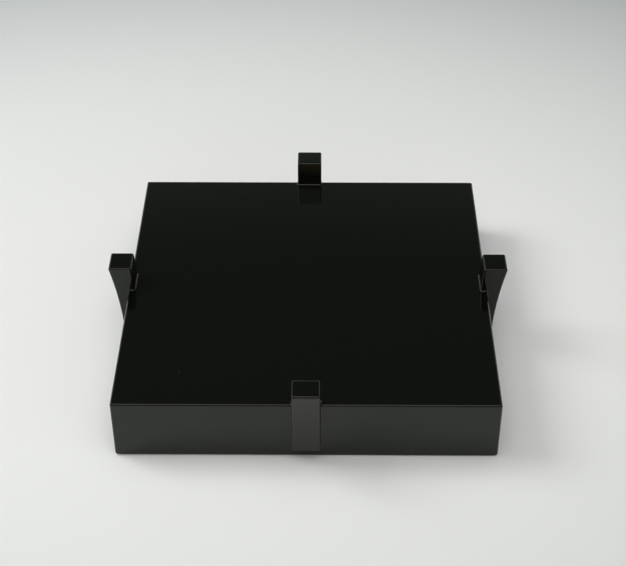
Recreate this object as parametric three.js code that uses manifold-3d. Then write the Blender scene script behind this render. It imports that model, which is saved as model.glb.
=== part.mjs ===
// A shallow square confectionery dish of black lacquered wood, turned over: its rim is down, its
// underside faces up, and its four bracket feet stand in the air. Millimetres, +Z up. The origin is
// the middle of the dish, in the plane of its rim.
import * as THREE from "three";
import { mergeVertices } from "three/addons/utils/BufferGeometryUtils.js";
import Module from "manifold-3d";

// The box: four mitred walls with the base board let into a rabbet, flush with their edges.
const dishSide = 240;
const dishHeight = 43.5;
const wallThickness = 8;
const baseThickness = 7;
const rabbetLip = 4.2; // wall left standing outside the base board
const arrisRound = 1.5; // outer edges and upright corners
const rimRound = 1.5; // both edges of the rim

// The feet: each hooks over the edge of the base and tapers down the wall on a long curve.
const footWidth = 17.4;
const footRise = 18.3; // the foot's end above the underside
const footProud = 12.7; // outer face beyond the wall, at the foot's end
const footInset = 3; // inner face in from the wall's outer face, at the foot's end
const hookReach = 4.4; // how far the shoulder lies over the wall's edge
const tailProud = 5.6; // thickness on the wall at the tail, near the rim
const tailClear = 9.8; // the tail's end above the rim's plane
const outerSweep = 270; // radius of the hollow outer face
const innerSweep = 280; // radius of the rounded inner face
const footArris = 1.2; // rounded long edges
const footCorner = 1.5; // rounded ends

// The fastenings inside: keys across the mitres, pegs behind the feet, nails round the base. The
// lacquer and its ground close over them, so that nothing of them shows.
const coatDepth = 0.5; // coat over the keys and the nail heads
const keyReach = 12; // along each wall from the corner
const keyThickness = 1.6;
const lowKey = 12; // height of the lower key
const keySpacing = 14;
const pegRadius = 2;
const pegInWall = 5;
const pegInFoot = 4;
const pegChamfer = 0.5;
const pegAboveTail = 7.5;
const pegSpacing = 14;
const nailRadius = 1;
const nailTipRadius = 0.7;
const nailLength = 16;
const nailSpacing = 56;

// The glue line: the space left between a piece and the seat that is cut for it.
const glueLine = 0.3;

const arcSteps = 4; // straight facets in a rounded corner
const sweepSteps = 12; // facets along a foot's outer face
const roundFacets = 12; // facets round a peg or a nail
const cutPast = 5; // how far a cutting body runs past what it cuts

// Places that several pieces share, worked out from the sizes above.
const face = dishSide / 2; // a wall's outer face from the middle
const shelf = dishHeight - baseThickness; // the rabbet's shelf, and the floor of the dish
const footEnd = dishHeight + footRise;
const nailLine = face - (wallThickness + rabbetLip) / 2; // along the middle of the shelf
const mitreSetBack = glueLine / Math.SQRT2; // along a wall, for half a glue line square to the mitre
const pegHeights = {
  lower: tailClear + pegAboveTail,
  upper: tailClear + pegAboveTail + pegSpacing,
};
const keyHeights = { lower: lowKey, upper: lowKey + keySpacing };

// Each side of the dish, with the way that its outer face looks.
const sides = { front: [0, -1], right: [1, 0], back: [0, 1], left: [-1, 0] };
// Each corner, between a side and the next one anticlockwise.
const corners = {
  front_right: ["front", "right"],
  back_right: ["right", "back"],
  back_left: ["back", "left"],
  front_left: ["left", "front"],
};

const wasm = await Module();
wasm.setup();

const lacquer = new THREE.MeshStandardMaterial({
  color: 0x121411,
  roughness: 0.12,
  metalness: 0,
});
const paleWood = new THREE.MeshStandardMaterial({
  color: 0xc9a876,
  roughness: 0.75,
  metalness: 0,
});
const bamboo = new THREE.MeshStandardMaterial({
  color: 0xb9974f,
  roughness: 0.6,
  metalness: 0,
});

const dish = new THREE.Group();

// A closed geometry as a solid that can be cut and joined.
function solidFrom(geometry) {
  const bare = geometry.clone();
  bare.deleteAttribute("normal");
  bare.deleteAttribute("uv");
  const merged = mergeVertices(bare, 1e-4);
  const mesh = new wasm.Mesh({
    numProp: 3,
    vertProperties: merged.attributes.position.array,
    triVerts: new Uint32Array(merged.index.array),
  });
  return new wasm.Manifold(mesh);
}

// Adds a finished solid to the dish as a named piece.
function place(name, solid, material) {
  const { vertProperties, triVerts } = solid.getMesh();
  const geometry = new THREE.BufferGeometry();
  geometry.setAttribute("position", new THREE.BufferAttribute(vertProperties, 3));
  geometry.setIndex(new THREE.BufferAttribute(triVerts, 1));
  geometry.computeVertexNormals();
  const piece = new THREE.Mesh(geometry, material);
  piece.name = name;
  dish.add(piece);
}

// A section drawn with X outwards and Y up, turned to one side of the dish: its Z runs along the side.
function sectionTo(side, geometry) {
  const outward = new THREE.Vector3(...sides[side], 0);
  const up = new THREE.Vector3(0, 0, 1);
  const along = outward.clone().cross(up);
  return geometry.applyMatrix4(new THREE.Matrix4().makeBasis(outward, up, along));
}

// A plan drawn with X outwards and Z up, turned to one side of the dish.
function planTo(side, geometry) {
  const outward = new THREE.Vector3(...sides[side], 0);
  const up = new THREE.Vector3(0, 0, 1);
  const along = up.clone().cross(outward);
  return geometry.applyMatrix4(new THREE.Matrix4().makeBasis(outward, along, up));
}

// An outline from its corners, anticlockwise. A corner [x, y, radius] with a radius becomes an arc.
function outline(corners) {
  const points = [];
  corners.forEach(([x, y, radius = 0], i) => {
    const corner = new THREE.Vector2(x, y);
    if (radius === 0) {
      points.push(corner);
      return;
    }
    const [beforeX, beforeY] = corners.at(i - 1);
    const [afterX, afterY] = corners[(i + 1) % corners.length];
    const back = new THREE.Vector2(beforeX, beforeY).sub(corner).normalize();
    const on = new THREE.Vector2(afterX, afterY).sub(corner).normalize();
    const half = Math.acos(back.dot(on)) / 2;
    const centre = back.clone().add(on).normalize();
    centre.multiplyScalar(radius / Math.sin(half)).add(corner);
    const start = corner.clone().addScaledVector(back, radius / Math.tan(half));
    const turn = Math.sign(on.cross(back)) * (Math.PI - 2 * half);
    for (let step = 0; step <= arcSteps; step += 1) {
      points.push(start.clone().rotateAround(centre, (turn * step) / arcSteps));
    }
  });
  return new THREE.Shape(points);
}

// Corners along the arc of a radius between two points. Its centre is on the right of the way, or
// on the left where the radius is negative.
function sweep([fromX, fromY], [toX, toY], radius, steps) {
  const from = new THREE.Vector2(fromX, fromY);
  const to = new THREE.Vector2(toX, toY);
  const chord = to.clone().sub(from);
  const rightward = new THREE.Vector2(chord.y, -chord.x).normalize();
  const depth = Math.sign(radius) * Math.sqrt(radius ** 2 - chord.lengthSq() / 4);
  const centre = from.clone().lerp(to, 0.5).addScaledVector(rightward, depth);
  const turn = -2 * Math.asin(chord.length() / 2 / radius);
  const between = [];
  for (let step = 1; step < steps; step += 1) {
    const point = from.clone().rotateAround(centre, (turn * step) / steps);
    between.push([point.x, point.y]);
  }
  return between;
}

// A straight-sided body of one outline, from one height to another along its own Z.
function prism(shape, low, high) {
  const geometry = new THREE.ExtrudeGeometry(shape, {
    depth: high - low,
    bevelEnabled: false,
  });
  return geometry.translate(0, 0, low);
}

// A turned body about its own Y, from corners [radius, height] that start and end on the axis.
function turned(corners) {
  const points = corners.map(([radius, height]) => new THREE.Vector2(radius, height));
  return new THREE.LatheGeometry(points, roundFacets);
}

// The square block that the walls are trimmed to, with round corners. The keys and their saw cuts
// are trimmed to a smaller one, inset under the coat.
function squareBlock(inset) {
  const half = face - inset;
  const round = Math.max(arrisRound - inset, 0);
  const plan = outline([
    [-half, -half, round],
    [half, -half, round],
    [half, half, round],
    [-half, half, round],
  ]);
  return solidFrom(prism(plan, -cutPast, dishHeight + cutPast));
}

// A key across a mitre: a thin triangle let into a saw cut from the corner, under the coat. With a
// clearance it is the saw cut itself.
function cornerKey(corner, height, clearance) {
  const [side] = corners[corner];
  const reach = keyReach + clearance * Math.SQRT2;
  const past = face + cutPast;
  const plan = outline([
    [past, past],
    [face - reach - cutPast, past],
    [past, face - reach - cutPast],
  ]);
  const half = keyThickness / 2 + clearance;
  const wedge = solidFrom(planTo(side, prism(plan, height - half, height + half)));
  return wedge.intersect(squareBlock(coatDepth + glueLine - clearance));
}

// A peg behind a foot, half in the wall and half in the foot. With a clearance it is the bored hole.
function footPeg(side, height, clearance) {
  const radius = pegRadius + clearance;
  const inner = -pegInWall - clearance;
  const outer = pegInFoot + clearance;
  const body = turned([
    [0, inner],
    [radius - pegChamfer, inner],
    [radius, inner + pegChamfer],
    [radius, outer - pegChamfer],
    [radius - pegChamfer, outer],
    [0, outer],
  ]);
  body.rotateZ(-Math.PI / 2).translate(face, height, 0);
  return solidFrom(sectionTo(side, body));
}

// A bamboo nail through the edge of the base board, its head sunk under the coat. With a clearance
// it is the bored hole.
function baseNail(side, along, clearance) {
  const head = dishHeight - coatDepth - glueLine;
  const tip = head - nailLength;
  const body = turned([
    [0, tip - clearance],
    [nailTipRadius + clearance, tip - clearance],
    [nailRadius + clearance, head + clearance],
    [0, head + clearance],
  ]);
  body.translate(nailLine, 0, along);
  return solidFrom(sectionTo(side, body));
}

// The nails stand evenly on each side, two on either hand of the foot.
const nailPlaces = [-1.5, -0.5, 0.5, 1.5].map((share) => share * nailSpacing);

// A wall: one moulded section run along the side, mitred at both ends, its corners rounded, then
// sawn for the keys and bored for the pegs and nails.
function wall(side) {
  const section = outline([
    [face - wallThickness, 0, rimRound],
    [face, 0, rimRound],
    [face, dishHeight, arrisRound],
    [face - rabbetLip, dishHeight],
    [face - rabbetLip, shelf],
    [face - wallThickness, shelf],
  ]);
  const past = face + cutPast;
  const mitred = outline([
    [mitreSetBack, 0],
    [past, mitreSetBack - past],
    [past, past - mitreSetBack],
  ]);
  let body = solidFrom(sectionTo(side, prism(section, -face, face)))
    .intersect(squareBlock(0))
    .intersect(solidFrom(planTo(side, prism(mitred, -cutPast, dishHeight + cutPast))));
  for (const corner of Object.keys(corners)) {
    if (corners[corner].includes(side)) {
      for (const height of Object.values(keyHeights)) {
        body = body.subtract(cornerKey(corner, height, glueLine));
      }
    }
  }
  for (const height of Object.values(pegHeights)) {
    body = body.subtract(footPeg(side, height, glueLine));
  }
  for (const along of nailPlaces) {
    body = body.subtract(baseNail(side, along, glueLine));
  }
  return body;
}

// The base board: a flat square panel on the rabbet's shelf, bored near its edges for the nails.
function baseBoard() {
  const edge = face - rabbetLip - glueLine;
  const plan = outline([
    [-edge, -edge],
    [edge, -edge],
    [edge, edge],
    [-edge, edge],
  ]);
  let board = solidFrom(prism(plan, shelf, dishHeight));
  for (const side of Object.keys(sides)) {
    for (const along of nailPlaces) {
      board = board.subtract(baseNail(side, along, glueLine));
    }
  }
  return board;
}

// A foot: a bracket sawn to a curved section, its edges rounded, with a notch that hooks over the
// edge of the base and two bored holes in the face that lies on the wall.
function foot(side) {
  const tail = [face + tailProud, tailClear];
  const toe = [face + footProud, footEnd];
  const heel = [face - footInset, footEnd];
  const shoulder = [face - hookReach, dishHeight];
  const section = outline([
    [...tail, footCorner],
    ...sweep(tail, toe, outerSweep, sweepSteps),
    [...toe, footCorner],
    [...heel, footCorner],
    ...sweep(heel, shoulder, -innerSweep, sweepSteps / 2),
    shoulder,
    [face - hookReach, tailClear],
  ]);
  const straight = footWidth - 2 * footArris;
  const blank = new THREE.ExtrudeGeometry(section, {
    depth: straight,
    bevelThickness: footArris,
    bevelSize: footArris,
    bevelOffset: -footArris,
    bevelSegments: 3,
  }).translate(0, 0, -straight / 2);
  const notch = outline([
    [face - hookReach - cutPast, tailClear - cutPast],
    [face + glueLine, tailClear - cutPast],
    [face + glueLine, dishHeight + glueLine, arrisRound + glueLine],
    [face - hookReach - cutPast, dishHeight + glueLine],
  ]);
  let body = solidFrom(sectionTo(side, blank)).subtract(
    solidFrom(sectionTo(side, prism(notch, -footWidth, footWidth))),
  );
  for (const height of Object.values(pegHeights)) {
    body = body.subtract(footPeg(side, height, glueLine));
  }
  return body;
}

place("base_board", baseBoard(), lacquer);

for (const side of Object.keys(sides)) {
  place(`wall_${side}`, wall(side), lacquer);
  place(`foot_${side}`, foot(side), lacquer);
  for (const [level, height] of Object.entries(pegHeights)) {
    place(`foot_peg_${side}_${level}`, footPeg(side, height, 0), paleWood);
  }
  nailPlaces.forEach((along, i) => {
    place(`base_nail_${side}_${i + 1}`, baseNail(side, along, 0), bamboo);
  });
}

for (const corner of Object.keys(corners)) {
  for (const [level, height] of Object.entries(keyHeights)) {
    place(`corner_key_${corner}_${level}`, cornerKey(corner, height, 0), paleWood);
  }
}

export default dish;
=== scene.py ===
# A shallow square confectionery dish of black lacquered wood, lying turned over on a pale table: rim
# down, underside up, its four bracket feet in the air.
import math

import bmesh
import bpy
from mathutils import Matrix, Vector


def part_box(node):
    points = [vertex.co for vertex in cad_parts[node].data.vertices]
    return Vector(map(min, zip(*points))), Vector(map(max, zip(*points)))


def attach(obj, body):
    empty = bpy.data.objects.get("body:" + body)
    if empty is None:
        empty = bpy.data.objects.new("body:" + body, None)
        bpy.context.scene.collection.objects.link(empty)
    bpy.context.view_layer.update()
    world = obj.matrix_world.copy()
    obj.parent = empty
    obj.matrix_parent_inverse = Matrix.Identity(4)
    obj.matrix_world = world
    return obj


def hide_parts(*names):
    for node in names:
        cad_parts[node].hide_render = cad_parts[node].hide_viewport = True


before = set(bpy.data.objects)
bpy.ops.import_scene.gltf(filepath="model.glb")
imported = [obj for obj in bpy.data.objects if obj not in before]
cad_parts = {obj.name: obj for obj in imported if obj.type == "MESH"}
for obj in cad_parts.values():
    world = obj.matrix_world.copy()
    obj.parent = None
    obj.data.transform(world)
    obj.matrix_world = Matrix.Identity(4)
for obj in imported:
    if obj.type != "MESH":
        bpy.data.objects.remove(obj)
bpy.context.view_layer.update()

# The box of the dish: four mitred walls round a base board, all closed under one coat of black
# lacquer, so that no joint shows. Its outer edges and its rim are rounded, its underside faces up
# and its hollow faces down.
wall_low, wall_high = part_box("wall_front")
board_low, board_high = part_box("base_board")
half_side = -wall_low.y
underside = board_high.z
hollow_floor = board_low.z
wall_thickness = wall_high.y - wall_low.y
arris_round = 0.0015
hollow_round = 0.0012
round_segments = 6
hair = 1e-5


def edit(piece, kind, wanted):
    """Opens a piece for editing, with only the elements of a kind selected that are wanted."""
    bpy.ops.object.select_all(action="DESELECT")
    bpy.context.view_layer.objects.active = piece
    piece.select_set(True)
    bpy.ops.object.mode_set(mode="EDIT")
    bpy.ops.mesh.select_mode(type=kind)
    bpy.ops.mesh.select_all(action="DESELECT")
    mesh = bmesh.from_edit_mesh(piece.data)
    mesh.normal_update()
    for element in wanted(mesh):
        element.select_set(True)
    mesh.select_flush_mode()
    bmesh.update_edit_mesh(piece.data)


def close():
    bpy.ops.object.mode_set(mode="OBJECT")


def soften(piece, sharp=math.pi):
    """Smooth shading up to an angle, in which wide flat faces keep their own normals."""
    bpy.ops.object.select_all(action="DESELECT")
    bpy.context.view_layer.objects.active = piece
    piece.select_set(True)
    bpy.ops.object.shade_smooth_by_angle(angle=sharp)
    weighted = piece.modifiers.new("weighted_normals", "WEIGHTED_NORMAL")
    weighted.mode = "FACE_AREA"
    weighted.weight = 100
    weighted.keep_sharp = True
    bpy.ops.object.modifier_apply(modifier=weighted.name)


def outer_edges(mesh):
    """The upright corners, the edges round the underside and both edges of the rim."""
    picked = []
    for edge in mesh.edges:
        (x0, y0, z0), (x1, y1, z1) = (v.co for v in edge.verts)
        reach = min(max(abs(x0), abs(y0)), max(abs(x1), abs(y1)))
        outside = reach > half_side - hair
        round_hollow = abs(reach - half_side + wall_thickness) < hair
        if outside or (round_hollow and max(z0, z1) < hair):
            picked.append(edge)
    return picked


bpy.ops.object.select_all(action="DESELECT")
bpy.ops.mesh.primitive_cube_add(
    size=1,
    location=(0, 0, underside / 2),
    scale=(2 * half_side, 2 * half_side, underside),
)
box = bpy.context.object
box.name = "lacquered_box"
bpy.ops.object.transform_apply(location=True, rotation=True, scale=True)
edit(box, "FACE", lambda mesh: [f for f in mesh.faces if f.normal.z < -0.9])
bpy.ops.mesh.inset(thickness=wall_thickness)
bpy.ops.mesh.extrude_region_move(TRANSFORM_OT_translate={"value": (0, 0, hollow_floor)})
close()
edit(box, "EDGE", outer_edges)
bpy.ops.mesh.bevel(offset=arris_round, segments=round_segments, profile=0.5, affect="EDGES")
close()
edit(box, "EDGE", lambda mesh: [e for e in mesh.edges if e.calc_face_angle_signed() < -1])
bpy.ops.mesh.bevel(offset=hollow_round, segments=round_segments, profile=0.5, affect="EDGES")
close()
soften(box)

# Black urushi over a ground of clay and raw lacquer, brushed on, rubbed down with charcoal and
# polished: near-black with a trace of green, and clear as glass over slow waves that the rubbing
# left. Where the coat is thin, on the edges and at the top of the feet's inner faces, the brown of
# the raw lacquer shows through.
urushi_black = "#0a0c07"
urushi_brown = "#33200f"
urushi_worn = "#19160c"
urushi_sheen = "#f9fffb"
urushi_index = 1.47
worn_depth = 0.0085
worn_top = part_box("foot_front")[1].z - 0.0013
inner_side_from = -0.03
inner_side_full = -0.09
dust_grey = "#6a6963"
wave_length = 0.045
wave_depth = 0.000012
thin_edge = 0.0022
dust_spacing = 0.030
dust_size = 0.00035


def linear(colour):
    """An sRGB hex colour as linear red, green, blue and alpha."""
    channels = [int(colour[i : i + 2], 16) / 255 for i in (1, 3, 5)]
    return [c / 12.92 if c <= 0.04045 else ((c + 0.055) / 1.055) ** 2.4 for c in channels] + [1.0]


def add(tree, kind, inputs=(), **settings):
    """A node of a kind with its settings, and a value or a link in each input that is given."""
    node = tree.nodes.new(kind)
    for name, value in settings.items():
        setattr(node, name, value)
    for name, value in dict(inputs).items():
        if isinstance(value, bpy.types.NodeSocket):
            tree.links.new(value, node.inputs[name])
        else:
            node.inputs[name].default_value = value
    return node


def material(name):
    """An empty material and its node tree."""
    made = bpy.data.materials.new(name)
    made.use_nodes = True
    made.node_tree.nodes.clear()
    return made, made.node_tree


urushi, tree = material("polished_black_urushi")
place = add(tree, "ShaderNodeTexCoord").outputs["Object"]
wave = add(
    tree,
    "ShaderNodeTexNoise",
    {"Vector": place, "Scale": 1 / wave_length, "Detail": 1.0, "Roughness": 0.35},
)
cloud = add(
    tree,
    "ShaderNodeTexNoise",
    {"Vector": place, "Scale": 3 / wave_length, "Detail": 4.0, "Roughness": 0.6},
)
geometry = add(tree, "ShaderNodeNewGeometry")
rounded = add(tree, "ShaderNodeBevel", {"Radius": thin_edge}, samples=4)
face_on = add(
    tree,
    "ShaderNodeVectorMath",
    {0: rounded.outputs["Normal"], 1: geometry.outputs["Normal"]},
    operation="DOT_PRODUCT",
)
edge = add(
    tree,
    "ShaderNodeMapRange",
    {"Value": face_on.outputs["Value"], "From Min": 0.998, "From Max": 0.93},
)
patchy = add(
    tree,
    "ShaderNodeMapRange",
    {"Value": cloud.outputs["Fac"], "From Min": 0.35, "From Max": 0.65, "To Min": 0.05, "To Max": 0.22},
)
thin = add(
    tree,
    "ShaderNodeMath",
    {0: edge.outputs["Result"], 1: patchy.outputs["Result"]},
    operation="MULTIPLY",
)
coat = add(
    tree,
    "ShaderNodeMix",
    {0: thin.outputs[0], 6: linear(urushi_black), 7: linear(urushi_brown)},
    data_type="RGBA",
)
away_from_middle = add(
    tree,
    "ShaderNodeVectorMath",
    {0: geometry.outputs["Normal"], 1: place},
    operation="DOT_PRODUCT",
)
inner_face = add(
    tree,
    "ShaderNodeMapRange",
    {
        "Value": away_from_middle.outputs["Value"],
        "From Min": inner_side_from,
        "From Max": inner_side_full,
    },
)
near_foot_end = add(
    tree,
    "ShaderNodeMapRange",
    {
        "Value": add(tree, "ShaderNodeSeparateXYZ", {"Vector": place}).outputs["Z"],
        "From Min": worn_top - worn_depth,
        "From Max": worn_top,
    },
)
worn = add(
    tree,
    "ShaderNodeMath",
    {0: inner_face.outputs["Result"], 1: near_foot_end.outputs["Result"]},
    operation="MULTIPLY",
)
worn_coat = add(
    tree,
    "ShaderNodeMix",
    {0: worn.outputs[0], 6: coat.outputs[2], 7: linear(urushi_worn)},
    data_type="RGBA",
)
motes = add(
    tree,
    "ShaderNodeTexVoronoi",
    {"Vector": place, "Scale": 1 / dust_spacing, "Randomness": 1.0},
)
mote = add(
    tree,
    "ShaderNodeMath",
    {0: motes.outputs["Distance"], 1: dust_size / dust_spacing},
    operation="LESS_THAN",
)
surface = add(
    tree,
    "ShaderNodeMix",
    {0: mote.outputs[0], 6: worn_coat.outputs[2], 7: linear(dust_grey)},
    data_type="RGBA",
)
rubbing = add(
    tree,
    "ShaderNodeMapRange",
    {"Value": cloud.outputs["Fac"], "From Min": 0.3, "From Max": 0.7, "To Min": 0.05, "To Max": 0.085},
)
uneven = add(
    tree,
    "ShaderNodeBump",
    {"Height": wave.outputs["Fac"], "Strength": 1.0, "Distance": wave_depth},
)
shader = add(
    tree,
    "ShaderNodeBsdfPrincipled",
    {
        "Base Color": surface.outputs[2],
        "Roughness": rubbing.outputs["Result"],
        "IOR": urushi_index,
        "Specular Tint": linear(urushi_sheen),
        "Normal": uneven.outputs["Normal"],
    },
)
add(tree, "ShaderNodeOutputMaterial", {"Surface": shader.outputs["BSDF"]})

box.data.materials.append(urushi)
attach(box, "root")
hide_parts("base_board", "wall_front", "wall_right", "wall_back", "wall_left")

# The four bracket feet, one at the middle of each side: sawn from board to a curved section, hollow
# outside and rounded inside, hooked over the edge of the box and tapering down its wall. They are
# glued and pegged, then lacquered with the box, and their edges are softened.
sides = ("front", "right", "back", "left")
foot_low, foot_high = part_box("foot_front")
half_width = foot_high.x
tail_height = foot_low.z
foot_end = foot_high.z
shoulder_line = -foot_high.y
foot_proud = 0.0127
foot_inset = 0.003
tail_proud = 0.0056
outer_sweep = 0.270
inner_sweep = 0.280
foot_arris = 0.0012
foot_corner = 0.0015
arc_steps = 24
arris_steps = 5


def arc(start, end, radius):
    """The centre of the arc between two points of a section in Y and Z, and the angle for a spin
    about X. The centre is on the left of the way, or on the right where the radius is negative."""
    chord = end - start
    leftward = Vector((0, -chord.z, chord.y)).normalized()
    depth = math.copysign(math.sqrt(radius**2 - chord.length_squared / 4), radius)
    return (start + end) / 2 + leftward * depth, -2 * math.asin(chord.length / 2 / radius)


def at(mesh, point):
    """The vertex of a mesh that lies at a point."""
    return min(mesh.verts, key=lambda vertex: (vertex.co - point).length)


def place_round(piece, name):
    """The piece at the front, and a copy of it with its own mesh at each other side."""
    made = []
    for quarter, side in enumerate(sides):
        copy = piece
        if quarter > 0:
            copy = bpy.data.objects.new(name, made[0].data.copy())
            bpy.context.scene.collection.objects.link(copy)
        copy.name = copy.data.name = f"{name}_{side}"
        copy.rotation_euler.z = quarter * math.pi / 2
        bpy.ops.object.select_all(action="DESELECT")
        bpy.context.view_layer.objects.active = copy
        copy.select_set(True)
        bpy.ops.object.transform_apply(location=True, rotation=True, scale=True)
        made.append(copy)
    return made


straight = half_width - foot_arris
tail = Vector((-straight, -half_side - tail_proud, tail_height))
toe = Vector((-straight, -half_side - foot_proud, foot_end))
heel = Vector((-straight, -half_side + foot_inset, foot_end))
shoulder = Vector((-straight, -shoulder_line, underside))
let_in = Vector((-straight, -shoulder_line, tail_height))

bpy.ops.object.select_all(action="DESELECT")
bpy.ops.mesh.primitive_plane_add(size=foot_corner, location=tail)
foot = bpy.context.object
bpy.ops.object.transform_apply(location=True, rotation=True, scale=True)
edit(foot, "VERT", lambda mesh: mesh.verts)
bpy.ops.mesh.merge(type="CENTER")
centre, angle = arc(tail, toe, outer_sweep)
bpy.ops.mesh.spin(steps=arc_steps, angle=angle, center=centre, axis=(1, 0, 0))
bpy.ops.mesh.extrude_region_move(TRANSFORM_OT_translate={"value": heel - toe})
centre, angle = arc(heel, shoulder, -inner_sweep)
bpy.ops.mesh.spin(steps=arc_steps // 2, angle=angle, center=centre, axis=(1, 0, 0))
bpy.ops.mesh.extrude_region_move(TRANSFORM_OT_translate={"value": let_in - shoulder})
bpy.ops.mesh.select_all(action="SELECT")
bpy.ops.mesh.edge_face_add()
close()
for corner in (tail, toe, heel):
    edit(foot, "VERT", lambda mesh: [at(mesh, corner)])
    section = bmesh.from_edit_mesh(foot.data)
    reach = foot_corner * math.tan(at(section, corner).calc_edge_angle() / 2)
    bpy.ops.mesh.bevel(offset=reach, segments=round_segments, profile=0.5, affect="VERTICES")
    close()
edit(foot, "FACE", lambda mesh: mesh.faces)
bpy.ops.mesh.extrude_region_move(TRANSFORM_OT_translate={"value": (2 * straight, 0, 0)})
bpy.ops.mesh.select_all(action="SELECT")
bpy.ops.mesh.normals_make_consistent(inside=False)
close()
edit(foot, "FACE", lambda mesh: [f for f in mesh.faces if abs(f.normal.x) > 0.9])
for step in range(arris_steps):
    before, after = (math.pi / 2 * s / arris_steps for s in (step, step + 1))
    bpy.ops.mesh.inset(
        thickness=foot_arris * (math.cos(before) - math.cos(after)),
        depth=foot_arris * (math.sin(after) - math.sin(before)),
    )
close()
notch = foot.modifiers.new("notch_over_the_box", "BOOLEAN")
notch.object = box
notch.operation = "DIFFERENCE"
notch.solver = "EXACT"
bpy.ops.object.modifier_apply(modifier=notch.name)
soften(foot, sharp=math.radians(50))
foot.data.materials.clear()
foot.data.materials.append(urushi)
for side, copy in zip(sides, place_round(foot, "lacquered_foot")):
    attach(copy, "root")
    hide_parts(f"foot_{side}")

# The lacquer that gathered in the corner round the root of each foot before it hardened: a hollow
# line that goes up the wall, over the rounded edge of the box and round the shoulder, where it is a
# little narrower. It is drawn flat, as if the wall were laid out level, and then folded over the
# box's edge.
gather = 0.0012
shoulder_gather = 0.0010
gather_steps = 8
fold_steps = 8
buried = 0.0003
wall_run = underside - arris_round - tail_height
edge_run = arris_round * math.pi / 2
root_run = wall_run + edge_run + (half_side - arris_round) - shoulder_line
shoulder_lean = math.tan(math.asin((heel.y - shoulder.y) / (heel - shoulder).length))


def fold(point):
    """A point of the flat drawing on the box: its Y runs up the wall and its Z stands off it."""
    off = point.z
    if point.y <= wall_run:
        return Vector((point.x, -half_side - off, tail_height + point.y))
    turn = min((point.y - wall_run) / arris_round, math.pi / 2)
    past = max(point.y - wall_run - edge_run, 0)
    share = min(past / (root_run - wall_run - edge_run), 1)
    out = half_side - arris_round + (arris_round + off) * math.cos(turn) - past
    up = underside - arris_round + (arris_round + off) * math.sin(turn)
    return Vector((point.x, -out + shoulder_lean * off * share, up))


bpy.ops.object.select_all(action="DESELECT")
root_middle = (root_run + shoulder_gather - gather) / 2
bpy.ops.mesh.primitive_plane_add(size=1, location=(0, root_middle, 0))
root = bpy.context.object
root.scale = (2 * (half_width + gather), root_run + shoulder_gather + gather, 1)
bpy.ops.object.transform_apply(location=True, rotation=True, scale=True)
edit(root, "VERT", lambda mesh: mesh.verts)
bpy.ops.mesh.bevel(offset=foot_arris + gather, segments=round_segments, profile=0.5, affect="VERTICES")
close()
edit(root, "EDGE", lambda mesh: mesh.edges)
bpy.ops.mesh.extrude_edges_move(TRANSFORM_OT_translate={"value": (0, 0, -buried)})
bpy.ops.mesh.edge_face_add()
close()
edit(root, "FACE", lambda mesh: [f for f in mesh.faces if all(abs(v.co.z) < hair for v in f.verts)])
for step in range(gather_steps):
    before, after = (math.pi / 2 * s / gather_steps for s in (step, step + 1))
    bpy.ops.mesh.inset(
        thickness=gather * (math.sin(after) - math.sin(before)),
        depth=gather * (math.cos(before) - math.cos(after)),
    )
bpy.ops.mesh.inset(thickness=buried)
for step in range(fold_steps + 1):
    bpy.ops.mesh.select_all(action="SELECT")
    line = wall_run + edge_run * step / fold_steps
    bpy.ops.mesh.bisect(plane_co=(0, line, 0), plane_no=(0, 1, 0))
bpy.ops.mesh.select_all(action="SELECT")
bpy.ops.mesh.normals_make_consistent(inside=False)
close()
for vertex in root.data.vertices:
    vertex.co = fold(vertex.co)
soften(root, sharp=math.radians(50))
root.data.materials.append(urushi)
for copy in place_round(root, "lacquer_gather"):
    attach(copy, "root")

# Keys, pegs and nails, closed in under the lacquer: the keys and pegs are planed cypress, pale and
# straight-grained, and the nails are split bamboo, yellower and stringy.
cypress_pale = "#d9bd8c"
cypress_dark = "#b98f58"
bamboo_pale = "#c9a763"
bamboo_dark = "#96733a"
ring_width = 0.0012
fibre_width = 0.0004


def grained(name, pale, dark, width, rough, turn):
    """Wood whose grain runs along X, turned by angles about X, Y and Z."""
    made, tree = material(name)
    along = add(
        tree,
        "ShaderNodeMapping",
        {
            "Vector": add(tree, "ShaderNodeTexCoord").outputs["Object"],
            "Rotation": turn,
            "Scale": (0.08 / width, 1 / width, 1 / width),
        },
    )
    streaks = add(
        tree,
        "ShaderNodeTexNoise",
        {"Vector": along.outputs["Vector"], "Scale": 1.0, "Detail": 3.0, "Roughness": 0.6},
    )
    share = add(
        tree,
        "ShaderNodeMapRange",
        {"Value": streaks.outputs["Fac"], "From Min": 0.35, "From Max": 0.65},
    )
    colour = add(
        tree,
        "ShaderNodeMix",
        {0: share.outputs["Result"], 6: linear(pale), 7: linear(dark)},
        data_type="RGBA",
    )
    relief = add(
        tree,
        "ShaderNodeBump",
        {"Height": streaks.outputs["Fac"], "Strength": 0.4, "Distance": 0.0001},
    )
    shader = add(
        tree,
        "ShaderNodeBsdfPrincipled",
        {
            "Base Color": colour.outputs[2],
            "Roughness": rough,
            "Normal": relief.outputs["Normal"],
        },
    )
    add(tree, "ShaderNodeOutputMaterial", {"Surface": shader.outputs["BSDF"]})
    return made


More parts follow.
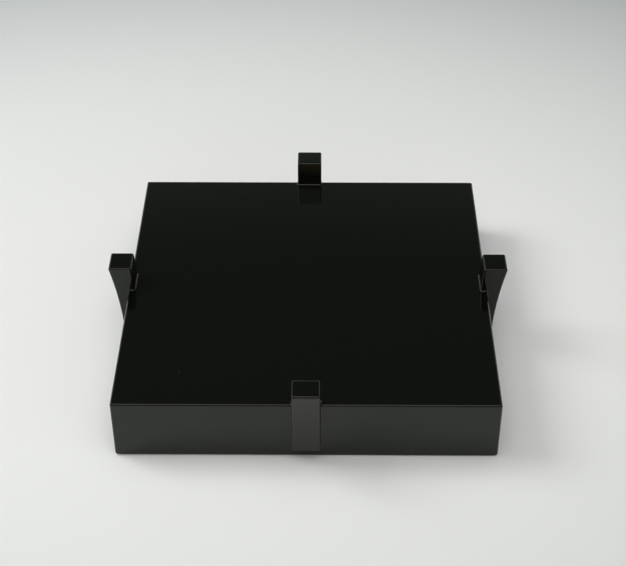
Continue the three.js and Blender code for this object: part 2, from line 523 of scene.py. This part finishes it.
quarter_turn = math.pi / 2
cypress = (cypress_pale, cypress_dark, ring_width, 0.6)
bamboo = (bamboo_pale, bamboo_dark, fibre_width, 0.5)
key_falling = grained("cypress_key_falling", *cypress, (0, 0, quarter_turn / 2))
key_rising = grained("cypress_key_rising", *cypress, (0, 0, -quarter_turn / 2))
peg_across = grained("cypress_peg_across", *cypress, (0, 0, 0))
peg_along = grained("cypress_peg_along", *cypress, (0, 0, quarter_turn))
nail_bamboo = grained("split_bamboo", *bamboo, (0, quarter_turn, 0))
for name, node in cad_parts.items():
    wood = None
    if name.startswith("base_nail"):
        wood = nail_bamboo
    elif name.startswith("foot_peg"):
        wood = peg_along if "front" in name or "back" in name else peg_across
    elif name.startswith("corner_key"):
        wood = key_falling if "front_left" in name or "back_right" in name else key_rising
    if wood:
        node.data.materials.clear()
        node.data.materials.append(wood)

# The pale table that the dish lies on: matt paper with a painted pool of light. Its colour is brightest
# under the dish and painted darker all round, most of all towards the back, as a painted falloff of the
# light.
paper_pale = "#eaebe9"
paper_painted_shade = "#aeb3b1"
painted_pool_centre = Vector((-0.02, 0.03, 0))
painted_falloff_reach = 0.57
sideways_share = 0.81
painted_falloff_power = 2.0
table_side = 8

bpy.ops.object.select_all(action="DESELECT")
bpy.ops.mesh.primitive_plane_add(size=table_side, location=(0, 0, 0))
table = bpy.context.object
table.name = "table"
paper, tree = material("pale_paper")
from_painted_pool = add(
    tree,
    "ShaderNodeVectorMath",
    {0: add(tree, "ShaderNodeTexCoord").outputs["Object"], 1: painted_pool_centre},
    operation="SUBTRACT",
)
spread = add(
    tree,
    "ShaderNodeVectorMath",
    {
        0: from_painted_pool.outputs["Vector"],
        1: (sideways_share / painted_falloff_reach, 1 / painted_falloff_reach, 1),
    },
    operation="MULTIPLY",
)
distance = add(
    tree,
    "ShaderNodeVectorMath",
    {0: spread.outputs["Vector"]},
    operation="LENGTH",
)
# Painted falloff of the light: the paper's colour goes from paper_pale to a painted shade colour with
# distance from the pool's centre.
painted_falloff = add(
    tree,
    "ShaderNodeMath",
    {0: distance.outputs["Value"], 1: painted_falloff_power},
    operation="POWER",
    use_clamp=True,
)
paper_with_painted_falloff = add(
    tree,
    "ShaderNodeMix",
    {0: painted_falloff.outputs[0], 6: linear(paper_pale), 7: linear(paper_painted_shade)},
    data_type="RGBA",
)
shader = add(
    tree,
    "ShaderNodeBsdfPrincipled",
    {"Base Color": paper_with_painted_falloff.outputs[2], "Roughness": 0.9, "Specular IOR Level": 0.1},
)
add(tree, "ShaderNodeOutputMaterial", {"Surface": shader.outputs["BSDF"]})
table.data.materials.append(paper)

# The studio. The lacquer shows a pale surround that fades upwards into a dim room and is darker
# towards the side of the camera. The table is lit by low pale walls in front and on the right, and
# from overhead.
room_dim = "#464d49"
pale_up_to = math.radians(12)
dim_from = math.radians(37)
surround_seen = 0.75
camera_side_seen = 0.18
low_walls_way = (0.71, -0.71, 0)
low_walls_light = 6.6
low_walls_top = math.radians(15)
overhead_light = 1.1
overhead_from = math.radians(52)
overhead_full = math.radians(68)
between_light = 0.17

world = bpy.data.worlds.new("studio")
bpy.context.scene.world = world
world.use_nodes = True
tree = world.node_tree
tree.nodes.clear()
direction = add(tree, "ShaderNodeTexCoord").outputs["Generated"]
split = add(tree, "ShaderNodeSeparateXYZ", {"Vector": direction})
height = add(
    tree,
    "ShaderNodeMapRange",
    {
        "Value": split.outputs["Z"],
        "From Min": math.sin(pale_up_to),
        "From Max": math.sin(dim_from),
        "To Min": 1.0,
        "To Max": 0.0,
    },
)
seen = add(
    tree,
    "ShaderNodeMapRange",
    {
        "Value": split.outputs["Y"],
        "From Min": -0.3,
        "From Max": 0.4,
        "To Min": camera_side_seen,
        "To Max": surround_seen,
    },
)
pale = add(
    tree,
    "ShaderNodeBackground",
    {"Color": linear("#ffffff"), "Strength": seen.outputs["Result"]},
)
dim = add(tree, "ShaderNodeBackground", {"Color": linear(room_dim), "Strength": 1.0})
shown = add(
    tree,
    "ShaderNodeMixShader",
    {0: height.outputs["Result"], 1: dim.outputs["Background"], 2: pale.outputs["Background"]},
)
toward_walls = add(
    tree,
    "ShaderNodeVectorMath",
    {0: direction, 1: low_walls_way},
    operation="DOT_PRODUCT",
)
below_top = add(
    tree,
    "ShaderNodeMath",
    {0: split.outputs["Z"], 1: math.sin(low_walls_top)},
    operation="LESS_THAN",
)
walls = add(
    tree,
    "ShaderNodeMapRange",
    {"Value": toward_walls.outputs["Value"], "To Min": 0.0, "To Max": low_walls_light},
)
low_light = add(
    tree,
    "ShaderNodeMath",
    {0: walls.outputs["Result"], 1: below_top.outputs[0]},
    operation="MULTIPLY",
)
overhead = add(
    tree,
    "ShaderNodeMapRange",
    {
        "Value": split.outputs["Z"],
        "From Min": math.sin(overhead_from),
        "From Max": math.sin(overhead_full),
        "To Min": between_light,
        "To Max": overhead_light,
    },
)
total = add(
    tree,
    "ShaderNodeMath",
    {0: low_light.outputs[0], 1: overhead.outputs["Result"]},
    operation="ADD",
)
lighting = add(
    tree,
    "ShaderNodeBackground",
    {"Color": linear("#ffffff"), "Strength": total.outputs[0]},
)
path = add(tree, "ShaderNodeLightPath")
sky = add(
    tree,
    "ShaderNodeMixShader",
    {
        0: path.outputs["Is Diffuse Ray"],
        1: shown.outputs["Shader"],
        2: lighting.outputs["Background"],
    },
)
add(tree, "ShaderNodeOutputWorld", {"Surface": sky.outputs["Shader"]})


def lamp(name, azimuth, elevation, distance, width, radiance):
    """A square lamp that faces the dish; azimuth is from the back, clockwise seen from above."""
    a, e = math.radians(azimuth), math.radians(elevation)
    way = Vector((math.cos(e) * math.sin(a), math.cos(e) * math.cos(a), math.sin(e)))
    light = bpy.data.lights.new(name, "AREA")
    light.shape = "SQUARE"
    light.size = width
    light.energy = radiance * math.pi * width * width
    holder = bpy.data.objects.new(name, light)
    bpy.context.scene.collection.objects.link(holder)
    holder.location = way * distance
    holder.rotation_euler = way.to_track_quat("Z", "Y").to_euler()


lamp("key", 282, 46, 1.8, 0.9, 6.4)
lamp("front_fill", 180, 62, 2.0, 1.3, 1.38)

# The camera at the photograph's place and angle, found from the dish's corners.
photo_width = 626
focal_pixels = 1435.4
eye = Vector((0.0103, -0.75714, 0.64581))
yaw, pitch, roll = (math.radians(v) for v in (-0.524, 38.517, 0.135))
forward = Vector((math.sin(yaw) * math.cos(pitch), math.cos(yaw) * math.cos(pitch), -math.sin(pitch)))
level_right = Vector((math.cos(yaw), -math.sin(yaw), 0))
level_down = forward.cross(level_right)
image_right = math.cos(roll) * level_right + math.sin(roll) * level_down
image_up = math.sin(roll) * level_right - math.cos(roll) * level_down
camera_data = bpy.data.cameras.new("camera")
camera = bpy.data.objects.new("camera", camera_data)
bpy.context.scene.collection.objects.link(camera)
camera_data.sensor_width = 36
camera_data.lens = focal_pixels / photo_width * camera_data.sensor_width
turn = Matrix((image_right, image_up, -forward)).transposed()
camera.matrix_world = Matrix.Translation(eye) @ turn.to_4x4()
bpy.context.scene.camera = camera
bpy.context.scene.view_settings.view_transform = "Standard"
